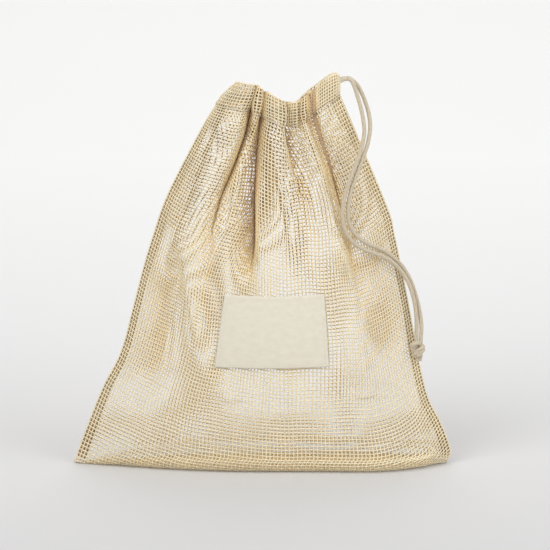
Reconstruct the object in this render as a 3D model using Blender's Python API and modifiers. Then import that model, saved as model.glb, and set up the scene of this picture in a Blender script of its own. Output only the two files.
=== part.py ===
"""Drawstring produce bag of open cotton netting, standing on its folded base with the mouth half gathered.

Metres, +Z up, the front of the bag towards -Y. The origin is on the floor under the middle of the base.
One length of netting is folded at the base and sewn up both sides; its top is turned over into a casing
that a round cord runs through. Both ends of the cord leave by the right side seam and share one knot.
"""

import math

import bmesh
import bpy
from mathutils import Matrix, Vector

# Body of the bag
BASE_WIDTH = 0.294          # corner to corner along the fold
BASE_DEPTH = 0.034          # from the fold forward to the front wall, at the middle
BELLY_DEPTH = 0.037         # half the depth of the bag at its fullest
BELLY_LEVEL = 0.30          # where it is fullest, as a share of the wall's height
BASE_FILLET = 0.009         # roll of the cloth from the base into the wall
CLOTH = 0.0012              # thickness of one layer of netting
GAP = 0.0003                # clearance between neighbouring pieces
LEFT_HIP = (0.125, 0.063)   # half width and height of the points that the left seam runs through
LEFT_WAIST = (0.098, 0.139)
LEFT_SHOULDER = (0.074, 0.215)
RIGHT_HIP = (0.124, 0.073)
RIGHT_WAIST = (0.112, 0.130)
RIGHT_SHOULDER = (0.097, 0.206)

# Gathered mouth, as the line that the cord follows inside the casing
MOUTH_LEFT_X = -0.039       # left end of the mouth
MOUTH_LEFT_Z = 0.284
MOUTH_HUMP = 0.011          # how far the rim stands up between its left end and its lowest point
MOUTH_WIDE_X = -0.008       # where the mouth is deepest
MOUTH_DEPTH = 0.0155        # half the depth of the mouth there
MOUTH_LOW_X = 0.020         # lowest point of the mouth
MOUTH_LOW_Z = 0.279
LEAD_START_X = 0.030        # from here to the exit the channel is straight
LEAD_LENGTH = 0.0354
LEAD_RISE = math.radians(35)

# Drawstring and its casing
CORD_RADIUS = 0.0016
CORD_CLEARANCE = 0.0005     # between the cord and its channel
CASING_HEIGHT = 0.021
CASING_WALL = 0.0008
CASING_LEAN = 0.7           # how far the casing leans to the right at its left end, for each unit of height
LEAN_REACH = 0.034          # the lean fades out over this distance from the left end
STRAND_GAP = 0.0004         # between the two strands where they lie together
EXIT_BEND_RADIUS = 0.008    # the cord bends over to the level here
EXIT_STRAIGHT = 0.001       # and first runs straight out of the casing this far

# Seams, label and threads
SEAM_ALLOWANCE = 0.008      # width of the sewn layers inside each side edge
SEAM_LAYERS = 2
LABEL_WIDTH = 0.086
LABEL_HEIGHT = 0.057
LABEL_THICKNESS = 0.0006
LABEL_CENTRE_X = 0.007
LABEL_CENTRE_Z = 0.114
LABEL_STITCH_INSET = 0.003
THREAD_RADIUS = 0.0003

# Knot
KNOT_TOP = (0.1205, -0.0105, 0.0975)
KNOT_LENGTH = 0.0145
KNOT_WRAPS = 3
WRAP_RADIUS = 0.0026        # from the knot's middle to the middle of a wrap
WRAP_TILT = math.radians(24)
CUT_END = 0.0025            # length of cord below the last wrap

# Openings of the netting, drawn as a coarse grid
NET_COLUMNS = 12
NET_ROWS = 11
BAR_SHARE = 0.38            # share of each cell that the yarn takes up

# The main folds of each panel, by stations down the cloth: height, sideways place, how far the fold stands
# out of the smooth bag, and its reach to either side
FRONT_FOLDS = [
    [(0.262, -0.030, 0.009, 0.012), (0.222, -0.031, 0.011, 0.013), (0.193, -0.038, 0.010, 0.015),
     (0.160, -0.054, 0.007, 0.018), (0.070, -0.045, 0.000, 0.020)],
    [(0.262, -0.002, -0.005, 0.006), (0.240, -0.006, -0.008, 0.008), (0.205, -0.012, -0.011, 0.012),
     (0.170, -0.014, -0.009, 0.013), (0.110, -0.014, 0.000, 0.018)],
    [(0.262, 0.010, 0.008, 0.007), (0.205, 0.014, 0.008, 0.018), (0.160, 0.016, 0.005, 0.026),
     (0.110, 0.012, 0.000, 0.030)],
    [(0.262, 0.027, 0.006, 0.006), (0.215, 0.040, 0.005, 0.009), (0.140, 0.052, 0.003, 0.015),
     (0.090, 0.060, 0.000, 0.018)],
    [(0.215, -0.086, 0.002, 0.008), (0.150, -0.064, 0.004, 0.011), (0.075, -0.038, 0.005, 0.013),
     (0.025, 0.000, 0.003, 0.015)],
    [(0.150, -0.090, -0.004, 0.012), (0.080, -0.075, -0.005, 0.013), (0.040, -0.050, -0.003, 0.014)],
    [(0.170, 0.084, -0.005, 0.010), (0.110, 0.092, -0.006, 0.012), (0.060, 0.106, -0.003, 0.012)],
]
BACK_FOLDS = [
    [(0.250, -0.034, 0.009, 0.011), (0.190, -0.054, 0.010, 0.017), (0.090, -0.078, 0.004, 0.028)],
    [(0.250, -0.020, -0.007, 0.008), (0.190, -0.030, -0.011, 0.013), (0.110, -0.040, -0.005, 0.020)],
    [(0.250, -0.005, 0.010, 0.008), (0.190, -0.006, 0.011, 0.014), (0.100, -0.010, 0.005, 0.024)],
    [(0.250, 0.010, -0.007, 0.007), (0.190, 0.018, -0.010, 0.012), (0.110, 0.026, -0.004, 0.020)],
    [(0.250, 0.024, 0.009, 0.007), (0.190, 0.040, 0.008, 0.014), (0.100, 0.058, 0.004, 0.022)],
    [(0.250, 0.038, -0.005, 0.006), (0.190, 0.062, -0.007, 0.012), (0.110, 0.086, -0.004, 0.018)],
]
FOLD_FREE_SIDE = 0.10       # shares of the width and of the height over which the folds fade out at the
FOLD_FREE_BASE = 0.14       # side seams, at the base and under the casing
FOLD_FREE_HEM = 0.13
HEM_BAND = 0.04             # share of the height under the casing that has no folds at all
LABEL_HOLD = 0.6            # reach of the cloth that the label keeps flat, as a share of the label's size

# Free strands, by the points they pass through after they leave the exit together.
# The inner strand starts in front, and the outer one makes the wider bow above.
INNER_ROUTE = [
    (0.0697, -0.0030, 0.3012), (0.0724, -0.0050, 0.2935), (0.0754, -0.0080, 0.2835),
    (0.0774, -0.0110, 0.2735),
    (0.0780, -0.0138, 0.2650), (0.0758, -0.0175, 0.2535), (0.0715, -0.0212, 0.2415),
    (0.0665, -0.0243, 0.2290), (0.0625, -0.0262, 0.2160), (0.0612, -0.0270, 0.2030),
    (0.0635, -0.0268, 0.1910), (0.0695, -0.0254, 0.1815), (0.0785, -0.0226, 0.1750),
    (0.0890, -0.0185, 0.1702), (0.0985, -0.0140, 0.1645), (0.1065, -0.0108, 0.1560),
    (0.1130, -0.0098, 0.1450), (0.1170, -0.0098, 0.1320), (0.1188, -0.0102, 0.1190),
    (0.1190, -0.0105, 0.1080),
]
OUTER_ROUTE = [
    (0.0718, 0.0010, 0.3008), (0.0757, 0.0003, 0.2945), (0.0790, -0.0010, 0.2865),
    (0.0816, -0.0045, 0.2780),
    (0.0826, -0.0098, 0.2680), (0.0806, -0.0146, 0.2565), (0.0762, -0.0186, 0.2440),
    (0.0711, -0.0220, 0.2310), (0.0670, -0.0243, 0.2180), (0.0656, -0.0251, 0.2045),
    (0.0672, -0.0249, 0.1945), (0.0722, -0.0235, 0.1862), (0.0800, -0.0208, 0.1798),
    (0.0900, -0.0168, 0.1750), (0.1000, -0.0125, 0.1694), (0.1092, -0.0088, 0.1602),
    (0.1164, -0.0080, 0.1478), (0.1208, -0.0084, 0.1330), (0.1234, -0.0094, 0.1195),
    (0.1232, -0.0104, 0.1085),
]

# Fineness of the faceted surfaces
FLOOR_ROWS = 3
FILLET_ROWS = 3
CASING_STATIONS = 32
CASING_SIDES = 10
STRAND_POINTS = 46
LOOP_POINTS = 54
THREAD_POINTS = 26

FRONT, BACK = -1, 1


def smooth(t):
    """Eases from 0 to 1 with no slope at either end."""
    t = min(max(t, 0.0), 1.0)
    return t * t * (3 - 2 * t)


def mix(a, b, t):
    return a + (b - a) * t


def smooth_path(points, count):
    """count points, evenly spaced along a Catmull-Rom curve through the given points."""
    points = [Vector(p) for p in points]
    padded = [2 * points[0] - points[1], *points, 2 * points[-1] - points[-2]]
    fine = []
    for before, start, end, after in zip(padded, padded[1:], padded[2:], padded[3:]):
        for step in range(24):
            t = step / 24
            fine.append(0.5 * (2 * start + (end - before) * t
                               + (2 * before - 5 * start + 4 * end - after) * t ** 2
                               + (3 * (start - end) + after - before) * t ** 3))
    fine.append(points[-1])
    return evenly(fine, count)


def evenly(line, count):
    """The same line with count points at equal steps of its length."""
    reached = [0.0]
    for start, end in zip(line, line[1:]):
        reached.append(reached[-1] + (end - start).length)
    spaced, at = [], 0
    for index in range(count):
        wanted = reached[-1] * index / (count - 1)
        while at < len(line) - 2 and reached[at + 1] < wanted:
            at += 1
        span = reached[at + 1] - reached[at] or 1.0
        spaced.append(line[at].lerp(line[at + 1], min(max((wanted - reached[at]) / span, 0.0), 1.0)))
    return spaced


# The mouth: the line of the cord from the left end of the bag round to the exit at the right

CHANNEL_RADIUS = CORD_RADIUS + CORD_CLEARANCE
CASING_HALF = CHANNEL_RADIUS + CASING_WALL          # half the casing's thickness
LEAD_OFFSET = CASING_HALF + GAP                     # half the distance between the channels at the exit
LEAD_AXIS = Vector((math.cos(LEAD_RISE), 0, math.sin(LEAD_RISE)))


def mouth_height(x):
    """Height of the cord line: a hump at the left, a dip in the middle, a straight rise to the exit."""
    if x < MOUTH_LOW_X:
        share = (x - MOUTH_LEFT_X) / (MOUTH_LOW_X - MOUTH_LEFT_X)
        return mix(MOUTH_LEFT_Z, MOUTH_LOW_Z, smooth(share)) + MOUTH_HUMP * math.sin(math.pi * share) ** 2
    slope, run = math.tan(LEAD_RISE), LEAD_START_X - MOUTH_LOW_X
    if x < LEAD_START_X:
        return MOUTH_LOW_Z + slope * (x - MOUTH_LOW_X) ** 2 / (2 * run)
    return MOUTH_LOW_Z + slope * run / 2 + slope * (x - LEAD_START_X)


def mouth_half():
    """The cord line of one half of the mouth, from its left end to the exit, with y counted outwards."""
    line = []
    for step in range(61):
        turn = math.pi / 2 * step / 60
        x = MOUTH_WIDE_X - (MOUTH_WIDE_X - MOUTH_LEFT_X) * math.cos(turn)
        line.append(Vector((x, MOUTH_DEPTH * math.sin(turn), mouth_height(x))))
    for step in range(1, 41):
        share = step / 40
        x = mix(MOUTH_WIDE_X, LEAD_START_X, share)
        line.append(Vector((x, mix(MOUTH_DEPTH, LEAD_OFFSET, smooth(share)), mouth_height(x))))
    lead_start = line[-1].copy()
    for step in range(1, 31):
        line.append(lead_start + LEAD_AXIS * (LEAD_LENGTH * step / 30))
    return line


def casing_up(x):
    """The direction up the casing, which leans to the right near the left end of the mouth."""
    return Vector((CASING_LEAN * (1 - smooth((x - MOUTH_LEFT_X) / LEAN_REACH)), 0, 1))


MOUTH = mouth_half()
EXIT = MOUTH[-1]
LEAD_START = Vector((LEAD_START_X, LEAD_OFFSET, mouth_height(LEAD_START_X)))
STITCH_DROP = CASING_HEIGHT / 2 + GAP               # from the cord line down to the top of the panels


# The panels

SEAM_HALF = SEAM_LAYERS * CLOTH / 2 + GAP           # inside face of a panel at its side edges
LEFT_TOP = MOUTH_LEFT_X - CASING_LEAN * STITCH_DROP, MOUTH_LEFT_Z - STITCH_DROP
RIGHT_TOP = EXIT.x, EXIT.z - STITCH_DROP
LEFT_SEAM = [(-BASE_WIDTH / 2, 0, CLOTH)]
LEFT_SEAM += [(-half, 0, height) for half, height in (LEFT_HIP, LEFT_WAIST, LEFT_SHOULDER)]
LEFT_SEAM += [(LEFT_TOP[0], 0, LEFT_TOP[1])]
RIGHT_SEAM = [(BASE_WIDTH / 2, 0, CLOTH)]
RIGHT_SEAM += [(half, 0, height) for half, height in (RIGHT_HIP, RIGHT_WAIST, RIGHT_SHOULDER)]
RIGHT_SEAM += [(RIGHT_TOP[0], 0, RIGHT_TOP[1])]
SEAM_STEPS = 60
LEFT_EDGE = smooth_path(LEFT_SEAM, SEAM_STEPS + 1)
RIGHT_EDGE = smooth_path(RIGHT_SEAM, SEAM_STEPS + 1)
TOP_EDGE = [point - casing_up(point.x) * STITCH_DROP for point in evenly(MOUTH, SEAM_STEPS + 1)]


def along(line, share):
    place = min(max(share, 0.0), 1.0) * (len(line) - 1)
    index = min(int(place), len(line) - 2)
    return line[index].lerp(line[index + 1], place - index)


def wall_depth(share):
    """Half the depth of the bag at the middle, by the share of the wall's height."""
    if share < BELLY_LEVEL:
        return mix(BASE_DEPTH, BELLY_DEPTH, smooth(share / BELLY_LEVEL))
    return mix(BELLY_DEPTH, MOUTH_DEPTH, smooth((share - BELLY_LEVEL) / (1 - BELLY_LEVEL)))


def crown(across):
    """0 at the side seams and 1 at the middle."""
    return 1 - (2 * across - 1) ** 2


def station(fold, height):
    """Sideways place, stand-out and reach of a fold at this height, level beyond its end stations."""
    for upper, lower in zip(fold, fold[1:]):
        if height >= lower[0]:
            share = min(max((upper[0] - height) / (upper[0] - lower[0]), 0.0), 1.0)
            return [mix(a, b, share) for a, b in zip(upper[1:], lower[1:])]
    return fold[-1][1:]


def fold_out(side, across, share, x, z):
    """How far the folds of this side stand out here. They fade out at every edge and behind the label."""
    out = 0.0
    for fold in FRONT_FOLDS if side == FRONT else BACK_FOLDS:
        place, height, reach = station(fold, z)
        out += height * math.exp(-((x - place) / reach) ** 2)
    out *= smooth(across / FOLD_FREE_SIDE) * smooth((1 - across) / FOLD_FREE_SIDE)
    out *= smooth(share / FOLD_FREE_BASE) * smooth((1 - HEM_BAND - share) / FOLD_FREE_HEM)
    if side == FRONT:
        from_label = (((x - LABEL_CENTRE_X) / (LABEL_HOLD * LABEL_WIDTH)) ** 4
                      + ((z - LABEL_CENTRE_Z) / (LABEL_HOLD * LABEL_HEIGHT)) ** 4)
        out *= 1 - math.exp(-from_label)
    return out


def wall_point(side, across, share):
    """A point of the inside face of one side, with y counted outwards."""
    left, right, top = along(LEFT_EDGE, share), along(RIGHT_EDGE, share), along(TOP_EDGE, across)
    flat, flat_top = left.lerp(right, across), LEFT_EDGE[-1].lerp(RIGHT_EDGE[-1], across)
    depth = SEAM_HALF + wall_depth(share) * crown(across)
    gathered = smooth((share - 0.55) / 0.45)
    x = flat.x + (top.x - flat_top.x) * gathered
    y = mix(depth, max(top.y - CLOTH / 2, SEAM_HALF), gathered)
    z = flat.z + (top.z - flat_top.z) * share ** 3
    return Vector((x, y + fold_out(side, across, share, x, z), z))


def cell_lines(count):
    """Shares at which the bars and the openings of a row of cells begin and end, openings in odd strips."""
    lines = [0.0]
    for cell in range(count):
        lines += [(cell + BAR_SHARE / 2) / count, (cell + 1 - BAR_SHARE / 2) / count]
    return lines + [1.0]


def panel_profile(side, across):
    """One column of the inside face: along the floor from the fold, round the fillet and up the wall."""
    foot = wall_point(side, across, 0)
    fillet = min(BASE_FILLET, 0.6 * foot.y)
    column = []
    for row in range(FLOOR_ROWS):
        column.append(Vector((foot.x, mix(GAP / 2, foot.y - fillet, row / FLOOR_ROWS), CLOTH)))
    for row in range(FILLET_ROWS):
        turn = math.pi / 2 * row / FILLET_ROWS
        column.append(Vector((foot.x, foot.y - fillet * (1 - math.sin(turn)),
                              CLOTH + fillet * (1 - math.cos(turn)))))
    fillet_share = fillet / (along(LEFT_EDGE, 1).z - CLOTH)
    for line in cell_lines(NET_ROWS):
        column.append(wall_point(side, across, mix(fillet_share, 1, line)))
    return column


# Making objects

bag = bpy.data.collections.get("produce_bag") or bpy.data.collections.new("produce_bag")


def clear_scene():
    for obj in list(bpy.data.objects):
        bpy.data.objects.remove(obj, do_unlink=True)
    if bag.name not in bpy.context.scene.collection.children:
        bpy.context.scene.collection.children.link(bag)


def finish_material(name, colour, roughness):
    material = bpy.data.materials.new(name)
    material.use_nodes = True
    shader = material.node_tree.nodes["Principled BSDF"]
    shader.inputs["Base Color"].default_value = (*colour, 1)
    shader.inputs["Roughness"].default_value = roughness
    shader.inputs["Metallic"].default_value = 0
    return material


def add_object(name, data, material):
    obj = bpy.data.objects.new(name, data)
    data.materials.append(material)
    bag.objects.link(obj)
    return obj


def add_sheet(name, columns, thickness, material, offset=1, openings=()):
    """A sheet from columns of points, as a grid that takes their places, thickened to one side. The cells
    named as openings, by column and row, are left out."""
    mesh = bpy.data.meshes.new(name)
    grid = bmesh.new()
    across, up = len(columns) - 1, len(columns[0]) - 1
    bmesh.ops.create_grid(grid, x_segments=across, y_segments=up, size=1)
    opened = []
    for face in grid.faces:
        middle = face.calc_center_median()
        if (int((middle.x + 1) / 2 * across), int((middle.y + 1) / 2 * up)) in openings:
            opened.append(face)
    bmesh.ops.delete(grid, geom=opened, context="FACES")
    ordered = sorted(grid.verts, key=lambda vert: (round(vert.co.x, 4), round(vert.co.y, 4)))
    for vert, place in zip(ordered, [point for column in columns for point in column]):
        vert.co = place
    grid.to_mesh(mesh)
    grid.free()
    mesh.shade_smooth()
    obj = add_object(name, mesh, material)
    wall = obj.modifiers.new("cloth", "SOLIDIFY")
    wall.thickness = thickness
    wall.offset = offset
    wall.use_even_offset = True
    return obj


def add_tube(name, points, radius, material, sides=2, closed=False):
    curve = bpy.data.curves.new(name, "CURVE")
    curve.dimensions = "3D"
    curve.bevel_depth = radius
    curve.bevel_resolution = sides
    curve.use_fill_caps = True
    spline = curve.splines.new("POLY")
    spline.points.add(len(points) - 1)
    for point, place in zip(spline.points, points):
        point.co = (*place, 1)
    spline.use_cyclic_u = closed
    return add_object(name, curve, material)


def mirrored(point, side):
    return Vector((point.x, point.y * side, point.z))


# Netting, seams and label

def build_panel(name, side, material):
    """One half of the body, from the fold under the base up to the hem, with its wall open as a net."""
    columns = [[mirrored(point, side) for point in panel_profile(side, line)]
               for line in cell_lines(NET_COLUMNS)]
    first = FLOOR_ROWS + FILLET_ROWS + 1
    openings = {(2 * column + 1, first + 2 * row)
                for column in range(NET_COLUMNS) for row in range(NET_ROWS)}
    return add_sheet(name, columns, CLOTH, material, offset=-side, openings=openings)


def seam_line(edge, inwards, inset):
    """A line inside a side edge, that far in from it, stopping short of the sloping casing."""
    return [point + Vector((inwards * inset, 0, 0)) for point in evenly(edge[:SEAM_STEPS - 2], THREAD_POINTS)]


def build_seam(name, edge, inwards, material):
    """The sewn layers inside a side edge, from the base up to the casing."""
    outer = seam_line(edge, inwards, GAP)
    inner = seam_line(edge, inwards, SEAM_ALLOWANCE)
    middle = [a.lerp(b, 0.5) for a, b in zip(outer, inner)]
    lift = Vector((0, 0, GAP))
    columns = [[point + lift for point in line] for line in (outer, middle, inner)]
    return add_sheet(name, columns, SEAM_LAYERS * CLOTH - GAP, material, offset=0)


def build_seam_thread(name, edge, inwards, material):
    """Overlocked thread along the raw edge of the seam allowance."""
    line = [point + Vector((0, 0, THREAD_RADIUS + GAP)) for point in
            seam_line(edge, inwards, SEAM_ALLOWANCE + GAP + THREAD_RADIUS)]
    return add_tube(name, line, THREAD_RADIUS, material, sides=1)


def front_face(x, z, proud):
    """The point of the front panel's outside at this x and height, that far proud of it."""
    low, high = 0.0, 1.0
    across = 0.5
    for _ in range(40):
        share = (low + high) / 2
        left, right = along(LEFT_EDGE, share).x, along(RIGHT_EDGE, share).x
        across = min(max((x - left) / (right - left), 0.0), 1.0)
        if wall_point(FRONT, across, share).z < z:
            low = share
        else:
            high = share
    point = wall_point(FRONT, across, share)
    return Vector((x, -(point.y + CLOTH + proud), z))


def build_label(material):
    """Woven patch that follows the front panel."""
    steps_across, steps_up = 12, 6
    columns = []
    for i in range(steps_across + 1):
        x = LABEL_CENTRE_X + LABEL_WIDTH * (i / steps_across - 0.5)
        columns.append([front_face(x, LABEL_CENTRE_Z + LABEL_HEIGHT * (j / steps_up - 0.5), 2 * GAP)
                        for j in range(steps_up + 1)])
    return add_sheet("label", columns, LABEL_THICKNESS, material)


def build_label_thread(material):
    """Line of stitching just inside the border of the label."""
    half_x, half_z = LABEL_WIDTH / 2 - LABEL_STITCH_INSET, LABEL_HEIGHT / 2 - LABEL_STITCH_INSET
    corners = [(-half_x, -half_z), (half_x, -half_z), (half_x, half_z), (-half_x, half_z)]
    proud = 3 * GAP + LABEL_THICKNESS + THREAD_RADIUS
    line = []
    for (x0, z0), (x1, z1) in zip(corners, corners[1:] + corners[:1]):
        for step in range(10):
            x, z = mix(x0, x1, step / 10), mix(z0, z1, step / 10)
            line.append(front_face(LABEL_CENTRE_X + x, LABEL_CENTRE_Z + z, proud))
    return add_tube("label_thread", line, THREAD_RADIUS, material, sides=1, closed=True)


# Casing and its stitching

def casing_frames(side):
    """Points of the channel's line with the directions across it, from the left end to the exit."""
    line = [mirrored(point, side) for point in evenly(MOUTH, CASING_STATIONS + 1)]
    line[0].y = side * 2 * GAP
    for index, point in enumerate(line):
        ahead = line[min(index + 1, len(line) - 1)]
        behind = line[max(index - 1, 0)]
        along_it = Vector((ahead.x - behind.x, ahead.y - behind.y, 0)).normalized()
        if index == 0:
            along_it = Vector((0, side, 0))
        outwards = Vector((along_it.y, -along_it.x, 0)) * -side
        yield point, outwards


def build_casing(name, side, material):
    """Turned-over top of a panel: a flat sleeve round the cord, pinched to an edge above and below."""
    rings = []
    for point, outwards in casing_frames(side):
        ring = []
        for index in range(CASING_SIDES):
            turn = 2 * math.pi * index / CASING_SIDES
            up = (CASING_HEIGHT / 2 - 2 * CASING_WALL) * math.sin(turn)
            out = CHANNEL_RADIUS * math.cos(turn)
            ring.append(point + outwards * out + casing_up(point.x) * up)
        rings.append(ring + ring[:1])
    sleeve = add_sheet(name, rings, CASING_WALL, material, offset=-side)
    mesh = bmesh.new()
    mesh.from_mesh(sleeve.data)
    bmesh.ops.remove_doubles(mesh, verts=mesh.verts, dist=1e-6)
    mesh.to_mesh(sleeve.data)
    mesh.free()
    return sleeve


def build_casing_thread(name, side, material):
    """Hem stitching on the outside of a panel, just under the casing."""
    line = []
    for index in range(THREAD_POINTS + 1):
        across = mix(0.06, 0.94, index / THREAD_POINTS)
        point = wall_point(side, across, 0.985)
        line.append(mirrored(Vector((point.x, point.y + CLOTH + 2 * GAP + THREAD_RADIUS, point.z)), side))
    return add_tube(name, line, THREAD_RADIUS, material, sides=1)


# Drawstring

def build_loop(material):
    """The stretch of cord inside the casing, from the front lead round the left end to the back one."""
    half = [point for point in MOUTH if point.x < LEAD_START_X - GAP]
    half.append(LEAD_START - LEAD_AXIS * GAP)
    line = [mirrored(point, FRONT) for point in reversed(half)]
    line += [mirrored(point, BACK) for point in half[1:]]
    return add_tube("drawstring_loop", evenly(line, LOOP_POINTS), CORD_RADIUS, material)


STRAND_OFFSET = CORD_RADIUS + STRAND_GAP / 2        # half the distance between strands that lie together


def lead_line(side):
    """A strand from the straight channel out of the exit and over to the level, drawn in to the other one."""
    start, out = mirrored(LEAD_START, side), mirrored(EXIT, side) + LEAD_AXIS * EXIT_STRAIGHT
    line = [start, start.lerp(out, 0.5), out]
    for step in range(1, 7):
        turn = LEAD_RISE * step / 6
        across = Vector((math.sin(LEAD_RISE) - math.sin(LEAD_RISE - turn), 0,
                         math.cos(LEAD_RISE - turn) - math.cos(LEAD_RISE))) * EXIT_BEND_RADIUS
        place = out + across
        place.y = side * mix(LEAD_OFFSET, STRAND_OFFSET, smooth(step / 6))
        line.append(place)
    line.append(line[-1] + Vector((GAP * 2, 0, 0)))
    return line


def tail_line(side, route):
    """A free strand from the end of its lead, along its route, down to the knot."""
    start = lead_line(side)[-1] + Vector((GAP, 0, 0))
    level = start + Vector((CORD_RADIUS, 0, 0))
    into_knot = Vector(KNOT_TOP) + Vector((side * STRAND_OFFSET, 0, GAP))
    above = into_knot + Vector((0, 0, 2 * CORD_RADIUS))
    line = smooth_path([level, *route, above], STRAND_POINTS)
    return [start, *line, into_knot]


def build_knot(material):
    """Overhand knot of both strands: they pass down its middle inside tilted wraps, and end below it."""
    top = Vector(KNOT_TOP)
    strands = []
    for side in (FRONT, BACK):
        bpy.ops.mesh.primitive_cylinder_add(vertices=10, radius=CORD_RADIUS * 0.98, depth=KNOT_LENGTH)
        strand = bpy.context.object
        strand.data.transform(Matrix.Translation(top + Vector((side * STRAND_OFFSET, 0, -KNOT_LENGTH / 2))))
        strands.append(strand)
    reach = CORD_RADIUS + 1.25 * WRAP_RADIUS * math.sin(WRAP_TILT)
    for index in range(KNOT_WRAPS):
        bpy.ops.mesh.primitive_torus_add(major_segments=14, minor_segments=8,
                                         major_radius=WRAP_RADIUS, minor_radius=CORD_RADIUS)
        wrap = bpy.context.object
        level = mix(reach + GAP, KNOT_LENGTH - CUT_END - reach, index / (KNOT_WRAPS - 1))
        tilt = Matrix.Rotation(WRAP_TILT * (-1) ** index, 4, "Y")
        widen = Matrix.Diagonal((1.25, 1, 1, 1))
        wrap.data.transform(Matrix.Translation(top - Vector((0, 0, level))) @ tilt @ widen)
        strands.append(wrap)
    knot = strands[0]
    for other in strands[1:]:
        union = knot.modifiers.new("join", "BOOLEAN")
        union.operation = "UNION"
        union.object = other
    bpy.context.view_layer.update()
    made = bpy.data.meshes.new_from_object(knot.evaluated_get(bpy.context.evaluated_depsgraph_get()))
    for obj in strands:
        bpy.data.objects.remove(obj)
    made.materials.clear()
    return add_object("drawstring_knot", made, material)


def build():
    clear_scene()
    netting = finish_material("cotton_netting", (0.80, 0.68, 0.47), 0.9)
    patch = finish_material("label_cotton", (0.76, 0.71, 0.58), 0.85)
    cord = finish_material("cotton_cord", (0.58, 0.48, 0.34), 0.8)
    thread = finish_material("sewing_thread", (0.78, 0.68, 0.50), 0.8)
    build_panel("front_panel", FRONT, netting)
    build_panel("back_panel", BACK, netting)
    build_seam("left_seam_allowance", LEFT_EDGE, 1, netting)
    build_seam("right_seam_allowance", RIGHT_EDGE, -1, netting)
    build_seam_thread("left_seam_thread", LEFT_EDGE, 1, thread)
    build_seam_thread("right_seam_thread", RIGHT_EDGE, -1, thread)
    build_casing("front_casing", FRONT, netting)
    build_casing("back_casing", BACK, netting)
    build_casing_thread("front_casing_thread", FRONT, thread)
    build_casing_thread("back_casing_thread", BACK, thread)
    build_label(patch)
    build_label_thread(thread)
    build_loop(cord)
    add_tube("drawstring_lead_front", lead_line(FRONT), CORD_RADIUS, cord)
    add_tube("drawstring_lead_back", lead_line(BACK), CORD_RADIUS, cord)
    add_tube("drawstring_tail_front", tail_line(FRONT, INNER_ROUTE), CORD_RADIUS, cord)
    add_tube("drawstring_tail_back", tail_line(BACK, OUTER_ROUTE), CORD_RADIUS, cord)
    build_knot(cord)


build()
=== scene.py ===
import math

import bpy
import numpy as np
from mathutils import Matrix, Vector
from mathutils.kdtree import KDTree


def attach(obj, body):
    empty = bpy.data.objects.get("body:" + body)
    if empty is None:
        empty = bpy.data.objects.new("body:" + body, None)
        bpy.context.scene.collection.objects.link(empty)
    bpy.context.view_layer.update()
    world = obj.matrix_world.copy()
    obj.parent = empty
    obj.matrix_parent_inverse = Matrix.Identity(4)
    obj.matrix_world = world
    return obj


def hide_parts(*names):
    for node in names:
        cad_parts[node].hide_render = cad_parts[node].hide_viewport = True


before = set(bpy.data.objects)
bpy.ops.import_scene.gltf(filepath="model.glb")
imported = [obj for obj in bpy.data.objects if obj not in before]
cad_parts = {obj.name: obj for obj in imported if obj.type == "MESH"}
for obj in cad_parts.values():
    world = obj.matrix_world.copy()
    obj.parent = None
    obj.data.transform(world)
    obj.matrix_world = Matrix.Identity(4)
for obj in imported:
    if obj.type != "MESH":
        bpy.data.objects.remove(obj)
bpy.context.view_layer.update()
bpy.ops.object.select_all(action="DESELECT")
scene = bpy.context.scene
scene.view_settings.view_transform = "Standard"


# Studio: a pale sweep of paper that is clear from its rear side, with painted shade darkening it towards the
# front, a wide soft light from the front left, weaker ones from the right and from behind, and an even white
# surround.
# The camera looks a little down on the bag from the front.

def material_with(name, settings):
    """A new node material and its shader, with these sockets of it set."""
    material = bpy.data.materials.new(name)
    material.use_nodes = True
    shader = material.node_tree.nodes["Principled BSDF"]
    for socket, value in settings.items():
        shader.inputs[socket].default_value = value
    return material, shader


def add_node(material, kind, links=(), **settings):
    """Adds a shader node, sets its properties and sockets, and links sockets of other nodes into it."""
    node = material.node_tree.nodes.new("ShaderNode" + kind)
    for key, value in settings.items():
        if key in node.inputs:
            node.inputs[key].default_value = value
        else:
            setattr(node, key, value)
    for socket, source in links:
        material.node_tree.links.new(source, node.inputs[socket])
    return node


def connect(material, shader, sources):
    """Links these outputs into the shader's sockets."""
    for socket, source in sources.items():
        material.node_tree.links.new(source, shader.inputs[socket])


def colour_ramp(material, source, first, *between_and_last):
    """The colour for the source's value, from stops with a place and a red, green and blue."""
    ramp = add_node(material, "ValToRGB", links=[("Fac", source)])
    *between, last = between_and_last
    stops = ramp.color_ramp.elements
    for stop, (place, colour) in zip(stops, (first, last)):
        stop.position, stop.color = place, (*colour, 1)
    for place, colour in between:
        stops.new(place).color = (*colour, 1)
    return ramp.outputs["Color"]


SWEEP_WIDTH, SWEEP_LENGTH, SWEEP_FRONT = 8, 6.0, -2.5
BEND_START, BEND_LENGTH, BEND_RADIUS = 1.2, 1.4, 0.9  # of the turn from the floor up to the wall
bpy.ops.mesh.primitive_grid_add(x_subdivisions=2, y_subdivisions=40, size=1, location=(0, 0, 0))
paper = bpy.context.object
paper.name = "paper_sweep"
for vertex in paper.data.vertices:
    reach = (vertex.co.y + 0.5) * SWEEP_LENGTH + SWEEP_FRONT
    turn = min(max((reach - BEND_START) / BEND_LENGTH, 0.0), 1.0) * math.pi / 2
    vertex.co.x *= SWEEP_WIDTH
    vertex.co.y = min(reach, BEND_START) + BEND_RADIUS * math.sin(turn)
    vertex.co.z = BEND_RADIUS * (1 - math.cos(turn)) + max(reach - BEND_START - BEND_LENGTH, 0.0)
bpy.ops.object.shade_smooth()
paper_white, shader = material_with("paper_white", {"Roughness": 0.9, "Specular IOR Level": 0.1})
# The paper is coloured from grey at the front to white at the back: painted shade for the light falling off
# across the floor.
spot = add_node(paper_white, "SeparateXYZ",
                links=[("Vector", add_node(paper_white, "TexCoord").outputs["Object"])])
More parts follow.
